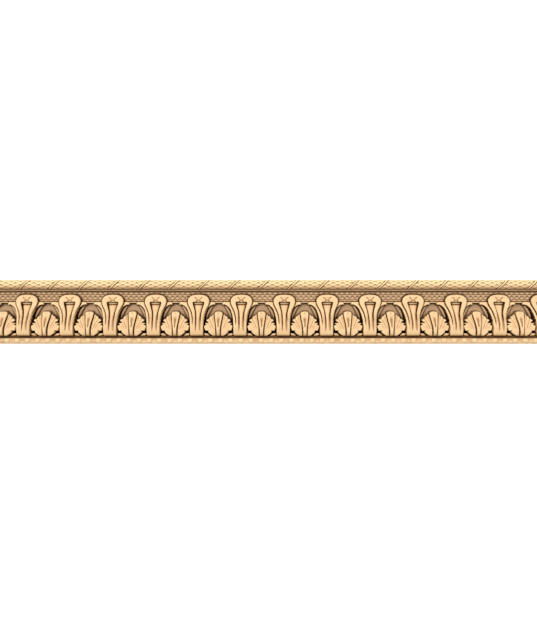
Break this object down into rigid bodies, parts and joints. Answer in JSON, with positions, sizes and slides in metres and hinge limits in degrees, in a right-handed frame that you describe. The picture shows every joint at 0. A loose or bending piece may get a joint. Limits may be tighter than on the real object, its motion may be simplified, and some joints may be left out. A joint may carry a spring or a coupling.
{
  "type": "frieze moulding",
  "caption": "Length of carved timber frieze moulding: looped leaves and palmettes in arched niches, under a scaled ground and a round top rail, over a beaded bottom edge; flat back, sawn ends.",
  "frame": {"origin": "middle of the flat back face, which the piece lies on", "axes": "+X along the length, +Y towards the edge that is fixed uppermost (the round rail), +Z out of the wall, through the carved face"},
  "size_m": [1.001, 0.1142, 0.0385],
  "materials": {
    "carved_timber": "pale timber, carved and sanded, with a dull clear coat"
  },
  "bodies": {
    "root": {"frieze_moulding": "carved_timber"}
  },
  "joints": []
}
